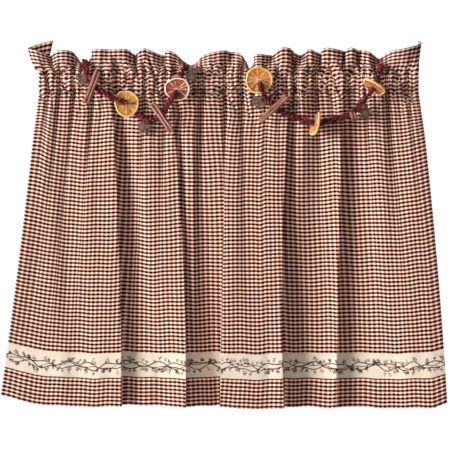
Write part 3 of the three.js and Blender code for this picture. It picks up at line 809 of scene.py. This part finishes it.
def spread_columns(step):
    """For each column, the bend to its left and how far on it lies to the next."""
    counted_at, least = 0.75, 4
    places = np.stack([along(BENDS[:, k:k + 3], counted_at) for k in (0, 3)], 1)
    wanted = np.round(np.diff(lengths(places)) / step)
    counts = np.maximum(least, wanted).astype(int)
    bend = np.repeat(np.arange(len(counts)), counts)
    part = np.concatenate([np.arange(n) / n for n in counts])
    return np.append(bend, len(counts) - 1), np.append(part, 1.0)


def folded(share, columns):
    """One level of the main folds, straight stretches and rounded bends: x, y and how far it is drawn up."""
    bend, part = columns
    corners = np.stack([along(BENDS[:, k:k + 3], share) for k in (0, 3, 6)], 1)
    legs = np.diff(corners, axis=0)
    start = lengths(corners[:, :2])
    length = np.diff(start)
    place = start[bend] + part * length[bend]
    line = corners[bend] + part[:, None] * legs[bend]
    heading = legs / length[:, None]
    for k in range(1, len(corners) - 1):
        room = 0.48 * min(length[k - 1], length[k])
        reach = min(BENDS[k, 9], room)
        near = np.clip(reach - np.abs(place - start[k]), 0, None)
        line = line + (heading[k] - heading[k - 1]) * (near ** 2 / (4 * reach))[:, None]
    return line


def waves(table, flat, drop):
    """Sum of slow waves over flat places across, at a drop."""
    total = 0
    for height, across, down, start in table:
        total = total + height * np.sin(2 * math.pi * (flat / across + drop / down) + start)
    return total


def level(share, columns):
    """x, y, how far it is drawn up, and flat distance across, of one level of the hanging cloth."""
    drop = share * DROP
    x, y, up = folded(share, columns).T
    for trough, depth, left, right in SOFT_FOLDS:
        away = x - along(trough, share)
        y = y + along(depth, share) * bell(away / np.where(away < 0, left, right))
    gathered = np.zeros_like(x)
    for place, depth in GATHERS:
        middle = np.interp(place, BENDS[[0, -1], 0], along(BENDS[[0, -1], 0:3], share))
        gathered += depth * bell((x - middle) / GATHER_HALF)
    y = y - TOP_FORWARD * math.exp(-drop / TOP_FADE) + math.exp(-drop / GATHER_FADE) * gathered
    full = BENDS[columns[0], 10]
    reach = np.append(0, np.cumsum(np.hypot(np.diff(x), np.diff(y)) * full[1:]))
    hidden = np.append(0, np.cumsum(gathered[1:] ** 2 * np.abs(np.diff(x))))
    rate = min(FACE_RATE + POCKET_RATE * math.exp(-drop / POCKET_FADE), FLAT_WIDTH / reach[-1])
    flat = reach * rate + hidden / hidden[-1] * (FLAT_WIDTH - reach[-1] * rate)
    up = up * rise(0, DRAWN_UP_FROM, share) + waves(ROW_WAVES, flat, drop)
    return x, y + waves(RIPPLES, flat, drop), up, flat


def pucker_rows():
    """Random puckers: height of their line, place, depth, half width, slant, reach above and below."""
    rows = []
    for line, depth, above, below in PUCKER_LINES:
        ranges = [(0.1, 0.9), depth, PUCKER_HALF, PUCKER_SLANT, above, below]
        drawn = random.uniform(*np.transpose(ranges), (PUCKERS, len(ranges)))
        drawn[:, 0] = (np.arange(PUCKERS) + drawn[:, 0]) * FLAT_WIDTH / PUCKERS
        rows += [(line, *row) for row in drawn]
    return rows


def puckered(flat, height):
    """How far the puckers move a row of the cloth at a height, as x, y and z for each place along it."""
    push, pull = np.zeros_like(flat), np.zeros_like(flat)
    for line, place, depth, half, slant, above, below in PUCKER_TABLE:
        away = height - line
        fade = math.exp(-abs(away) / (above if away > 0 else below))
        if fade > PUCKER_LEAST:
            off = (flat - place - slant * away) / half
            dent = depth * fade * bell(off)
            push += dent
            pull -= PUCKER_PULL * dent * off
    return beside(pull, push, -push)


def creased(x, height):
    """How far the sharp creases move places of the cloth back, from their x and height."""
    push = np.zeros_like(x)
    for top_x, top, low_x, low, depth in CREASES:
        above = rise(low - CREASE_END, low + CREASE_END, height)
        below = rise(top + CREASE_END, top - CREASE_END, height)
        off = x - low_x - (top_x - low_x) * (height - low) / (top - low)
        push += depth * above * below * bell(off / CREASE_HALF)
    return push


def hanging_rows(drops, columns):
    """Points and flat places of the hanging cloth at distances below the pocket."""
    points, flats = [], []
    for drop in drops:
        x, y, up, flat = level(drop / DROP, columns)
        height = -POCKET_HALF - drop
        points.append(beside(x, y + creased(x, height), height + up) + puckered(flat, height))
        flats.append(beside(flat, -drop))
    return np.array(points), np.array(flats)


def outward(points):
    """Normals of a grid of points, on the side that is front where rows run down and columns to the right."""
    return unit(np.cross(np.gradient(points, axis=0), np.gradient(points, axis=1)))


def make_cloth(name, points, flats, material, strips):
    """A sheet of cloth through a grid of points, with its flat places, and a layout in strips for baking."""
    rows, columns = points.shape[:2]
    count = rows * columns
    normal = outward(points)
    skins = np.stack([points + normal * SHEET / 2, points - normal * SHEET / 2])
    index = np.arange(count).reshape(rows, columns)
    outer = np.stack([index[:-1, :-1], index[1:, :-1], index[1:, 1:], index[:-1, 1:]], -1).reshape(-1, 4)
    edges = [
        (index[1:, 0], index[:-1, 0]), (index[-1, 1:], index[-1, :-1]),
        (index[:-1, -1], index[1:, -1]), (index[0, :-1], index[0, 1:]),
    ]
    rim = np.vstack([np.stack([a, b, b + count, a + count], -1) for a, b in edges])
    faces = np.vstack([outer, outer[:, ::-1] + count, rim])
    piece = mesh_object(name, skins.reshape(-1, 3), faces, material)
    place = faces % count
    add_uv(piece, "Flat", flats.reshape(-1, 2)[place] * MM)

    across = (flats[..., 0].mean(0) / FLAT_WIDTH)[place % columns]
    step = np.linalg.norm(np.diff(points, axis=0), axis=2).mean(1)
    down = (np.append(0, np.cumsum(step)) / step.sum())[place // columns]
    strip = np.clip(across.mean(1) * strips, 0, strips - 1e-6).astype(int)[:, None]
    edge_u, edge_v = 0.02, 0.04
    u = edge_u + (1 - 2 * edge_u) * (across * strips - strip)
    v = (strip + edge_v + (1 - 2 * edge_v) * down) / strips
    is_inner = np.arange(len(faces))[:, None] // len(outer) == 1
    add_uv(piece, "OFBake", np.stack([u, np.where(is_inner, v, 1 + v) / 2], -1))
    return piece, normal


def ruffle_edge(x, flat):
    """Top edge of the ruffle over places along the pocket, and flat distance along that edge."""
    line = curve_points(RUFFLE[:, 1:], 0.5)
    reach = lengths(line)
    nearest = [int(np.argmin(np.linalg.norm(line - crest, axis=1))) for crest in RUFFLE[:, 1:]]
    feet = np.interp(RUFFLE[:, 0], np.maximum.accumulate(x), flat)
    wanted = np.interp(flat, feet, reach[nearest])
    step = np.abs(np.diff(line, axis=0))
    spread = np.append(0, np.cumsum(step[:, 0] + SIDE_SHARE * step[:, 1]))
    return points_at(wanted, reach, line), np.interp(wanted, reach, spread) / spread[-1] * FLAT_WIDTH


def heading_rows(columns):
    """The heading from its back hem up, over the ruffle's top edge and down its front."""
    x, y, _, flat = level(0.0, columns)
    edge, edge_flat = ruffle_edge(x, flat)
    foot = beside(x, y, POCKET_HALF)
    pocket = np.linspace(-1, 1, POCKET_ROWS)
    pocket = np.sign(pocket) * np.abs(pocket) ** 0.8 * POCKET_HALF
    climb = np.linspace(0, 1, RUFFLE_ROWS + 1)[1:]

    def side(row, sign):
        across = unit(np.gradient(row[:, :2], axis=0))
        return row + sign * LAYER_GAP / 2 * beside(across[:, 1], -across[:, 0], 0)

    def pocket_row(z, sign):
        wave = POCKET_WAVE + (1 - POCKET_WAVE) * (z / POCKET_HALF) ** 2
        bulge = math.cos(math.pi / 2 * z / POCKET_HALF) ** 2
        out = bulge * (-FRONT_BULGE if sign > 0 else BACK_BULGE)
        row = side(beside(x, y * wave + out + creased(x, z), z) + puckered(flat, z), sign)
        clear = ROD_CLEAR - ROD_CLOSE * np.maximum(0, np.abs(row[:, 2]) - ROD_HEIGHT)
        row[:, 1] = -sign * (clear + ROD_SOFT * np.logaddexp(0, (-sign * row[:, 1] - clear) / ROD_SOFT))
        return row

    def ruffle_row(t, sign):
        lean = t ** (STRAIGHT_LEAN + (FLAP_LEAN - STRAIGHT_LEAN) * bell(flat / FLAP_WIDTH))
        row = foot + (edge - foot) * beside(lean, lean, t)
        row[:, 1] += creased(row[:, 0], row[:, 2])
        return side(row + puckered(flat, POCKET_HALF + t * RUFFLE_FLAT) * (1 - t), sign)

    fold = (ruffle_row(1.0, -1) + ruffle_row(1.0, 1)) / 2 + [0, 0, LAYER_GAP / 2]
    rows = [pocket_row(z, -1) for z in pocket] + [ruffle_row(t, -1) for t in climb] + [fold]
    rows += [ruffle_row(t, 1) for t in climb[::-1]] + [pocket_row(z, 1) for z in pocket[::-1]]
    up = [beside(flat, z + POCKET_HALF) for z in pocket]
    for t in climb:
        fanned = flat + (edge_flat - flat) * rise(0, FAN_SHARE, t)
        up.append(beside(fanned, 2 * POCKET_HALF + RUFFLE_FLAT * t))
    return np.array(rows), np.array(up + [up[-1] + [0, LAYER_GAP]] + up[::-1])


def seamed(points):
    """Draws the upper and lower edges of a strip back into its seams."""
    depth, reach = 0.3, 2.0
    drop = np.abs(points[:, :, 2].mean(1) - points[0, :, 2].mean())
    points[:, :, 1] += (depth * bell(np.minimum(drop, drop[-1] - drop) / reach))[:, None]
    return points


def ink_distance(flats, marks):
    """Distance in millimetres from each place on the strip to the nearest of some drawn marks."""
    nearest = np.full(flats.shape[:2], INK_FAR)
    middle = flats[..., 0].mean(0)
    search = 8
    for start, end, radius in marks:
        ends = np.sort([start[0], end[0]]) + [-search, search]
        near = slice(*np.searchsorted(middle, ends))
        leg = np.subtract(end, start)
        away = flats[:, near] - start
        t = np.clip(away @ leg / max(leg @ leg, 1e-9), 0, 1)
        gone = np.linalg.norm(away - t[..., None] * leg, axis=-1) - radius
        nearest[:, near] = np.minimum(nearest[:, near], gone)
    return nearest


def chain(points, radius):
    return [(a, b, radius) for a, b in zip(points, points[1:])]


def stem_height(stem, u):
    swing, repeat, start, second, short, begin = stem
    wave = swing * np.sin(2 * math.pi * u / repeat + start)
    return PRINT_MIDDLE + wave + second * np.sin(2 * math.pi * u / short + begin)


def vine_marks():
    """Marks of the printed strip: winding stems, and sprigs with small rounded leaves."""
    u = np.arange(-4.0, FLAT_WIDTH + 6, 2.0)
    stems, leaves = [], []
    for stem, half in zip(STEMS, STEM_HALF):
        stems += chain(np.column_stack([u, stem_height(stem, u)]), half)
    for k in range(int(FLAT_WIDTH / SPRIG_STEP)):
        at = (k + random.uniform(0.2, 0.8)) * SPRIG_STEP
        foot = np.array([at, stem_height(STEMS[k % len(STEMS)], at)])
        side = 1 if foot[1] > PRINT_MIDDLE else -1
        slant = side * random.uniform(*SPRIG_SLANT) * (1 if random.random() < 0.75 else 0.8)
        heading = np.array([math.cos(slant) * random.choice([-1, 1]), math.sin(slant)])
        square = np.array([-heading[1], heading[0]])
        length = random.uniform(*SPRIG_LENGTH)
        bow = random.uniform(*SPRIG_BOW)

        def stalk(t):
            return foot + heading * length * t + square * bow * t * (1 - t) * 2

        leaves += chain(stalk(np.linspace(0, 1, 6)[:, None]), STALK_HALF)
        for j, share in enumerate(LEAF_SHARES):
            root = stalk(share)
            hand = 1 if j % 2 else -1
            tip = root + (heading * 0.7 + square * hand) * random.uniform(*LEAF_LENGTH)
            leaves.append((root, tip, LEAF_STEM_HALF))
            leaves.append((root + (tip - root) * 0.5, tip, random.uniform(*LEAF_HALF)))
    return stems, leaves


def make_stitches(name, lines, material):
    """Short stitches along lines of points with their normals."""
    sides, length, radius, every = 6, 2.3, 0.24, 3.1
    profile = [(-0.5, 0.35), (-0.36, 0.85), (0, 1.0), (0.36, 0.85), (0.5, 0.35)]
    angle = (np.arange(sides) * 2 * math.pi / sides)[:, None]
    corners = list(range(len(profile) * sides))
    one = loft(len(profile), sides).tolist() + [corners[sides - 1::-1], corners[-sides:]]
    rings, faces = [], []
    for line, normal in lines:
        reach = lengths(line)
        for at in np.arange(every, reach[-1] - every, every):
            centre = points_at(at, reach, line)
            heading = unit(points_at(at + 1, reach, line) - centre)
            side = unit(np.cross(heading, points_at(at, reach, normal)))
            out = np.cross(side, heading)
            first = len(rings) * sides
            faces += [[first + corner for corner in face] for face in one]
            for step, wide in profile:
                middle = centre + heading * step * length + out * (0.12 - 0.3 * step ** 2)
                rings.append(middle + (side * np.cos(angle) + out * np.sin(angle)) * wide * radius)
    points = np.vstack(rings)
    piece = mesh_object(name, points, faces, material)
    add_uv(piece, "Flat", points[corner_points(piece)][:, [0, 2]] * MM)
    return finished(piece)


def make_stage():
    """A pale floor well below the hem, white surroundings and soft studio light from the left."""
    radius, height, corners = 1.8, -1.0, 96
    angle = np.arange(corners) * 2 * math.pi / corners
    mesh = bpy.data.meshes.new("floor")
    mesh.from_pydata(beside(radius * np.cos(angle), radius * np.sin(angle), height), [], [range(corners)])
    graph = Graph("floor", 0.9)
    grey = graph.mix(graph.spots(3.0), (0.86, 0.86, 0.86, 1), (0.9, 0.9, 0.9, 1))
    mesh.materials.append(graph.done(grey))
    link("floor", mesh)

    world = Nodes(bpy.data.worlds.new("studio"))
    blend = world.node("MixShader", None, {0: world.node("LightPath").outputs["Is Camera Ray"]})
    for socket, colour, strength in ((1, AMBIENT, 1.0), (2, (1, 1, 1, 1), 1.05)):
        sky = world.node("Background", None, {"Color": colour, "Strength": strength})
        world.feed(blend.inputs[socket], sky.outputs[0])
    world.node("OutputWorld", None, {0: blend.outputs[0]})
    bpy.context.scene.world = world.owner
    bpy.context.scene.view_settings.view_transform = "Standard"

    for name, place, aim, size, power in LIGHTS:
        data = bpy.data.lights.new(name, "AREA")
        data.size = size
        data.energy = power
        lamp = link(name, data)
        lamp.location = place
        lamp.rotation_euler = (Vector(aim) - Vector(place)).to_track_quat("-Z", "Y").to_euler()


PUCKER_TABLE = pucker_rows()
make_camera()

# Garlands first: each twine is a cord that carries its berries, slices, sticks and stars
twine_look, berry_look, tin_look = twine_material(), berry_material(), tin_material()
twines = {name: make_twine(name, route, twine_look) for name, route in TWINE_ROUTES.items()}
trims = {name: [] for name in twines}


def carry(piece, place):
    trims["twine_left" if place[0] < 0 else "twine_right"].append(piece)


for name, route in BERRY_ROUTES.items():
    carry(make_berries(name, route, berry_look), route[0])
for k, (place, facing, turn, red, size) in enumerate(SLICES, 1):
    name = f"orange_slice_{k}"
    carry(make_slice(name, place, facing, turn, size, orange_material(name, red)), place)
for k, (start, end, groove, pale) in enumerate(STICKS, 1):
    name = f"cinnamon_stick_{k}"
    carry(make_stick(name, start, end, groove, bark_material(name, pale)), start)
for k, (place, turn) in enumerate(STARS, 1):
    carry(make_star(f"tin_star_{k}", place, turn, tin_look), place)
for name, twine in twines.items():
    finished(twine)
    route = TWINE_ROUTES[name]
    length = lengths(curve_points(route, 1.0))[-1]

# Cloth: heading, panel, printed strip and hem, all on the same folds
gingham = gingham_material()
columns = spread_columns(COLUMN_STEP)
heading_points, heading_flats = heading_rows(columns)
heading, heading_normals = make_cloth("heading", heading_points, heading_flats, gingham, 2)
panel_points, panel_flats = hanging_rows(PANEL_DROPS, columns)
panel, panel_normals = make_cloth("panel", panel_points, panel_flats, gingham, 1)

border_points, border_flats = hanging_rows(BORDER_DROPS, spread_columns(PRINT_STEP))
border, _ = make_cloth("border_band", seamed(border_points), border_flats, border_material(), 6)
for part, marks in zip(("stem", "leaf"), vine_marks()):
    add_values(border, part + "_ink", np.tile(ink_distance(border_flats, marks).ravel(), 2))
add_values(border, "ink_strength", np.repeat([1.0, INK_THROUGH], border_points[..., 0].size))

hem_points, hem_flats = hanging_rows(HEM_DROPS, columns)
hem_normals = outward(hem_points)
behind = hem_points - hem_normals * LAYER_GAP
turned = np.flatnonzero(DROP - HEM_DROPS <= HEM_TURN)[::-1]
fold = (hem_points[-1:] + behind[-1:]) / 2 - [0, 0, LAYER_GAP / 2]
hem_grid = np.vstack([hem_points, fold, behind[turned]])
hem_flat_grid = np.vstack([hem_flats, hem_flats[-1:] - [0, LAYER_GAP], hem_flats[turned]])
hem, _ = make_cloth("hem_band", hem_grid, hem_flat_grid, gingham, 3)

for piece, slot, flat in (
    (heading, "gingham", 2 * (2 * POCKET_HALF + RUFFLE_FLAT)),
    (panel, "gingham", PANEL_DROP),
    (border, "border_cloth", BORDER_DROP),
    (hem, "gingham", HEM_DROP + HEM_TURN),
):
    finished(piece)

# Stitch lines: both edges of the pocket, the hem and the side hems
rows = (POCKET_ROWS + 2 * RUFFLE_ROWS + 1, -1)
sewn = [(heading_points[row], heading_normals[row]) for row in rows]
sewn.append((hem_points[turned[-1]], hem_normals[turned[-1]]))
for at in (SIDE_HEM, FLAT_WIDTH - SIDE_HEM):
    column = np.argmin(np.abs(panel_flats[len(panel_flats) // 2, :, 0] - at))
    sewn.append((panel_points[:, column], panel_normals[:, column]))
make_stitches("stitching", [(line + normal * SHEET / 2, normal) for line, normal in sewn], thread_material())

make_stage()
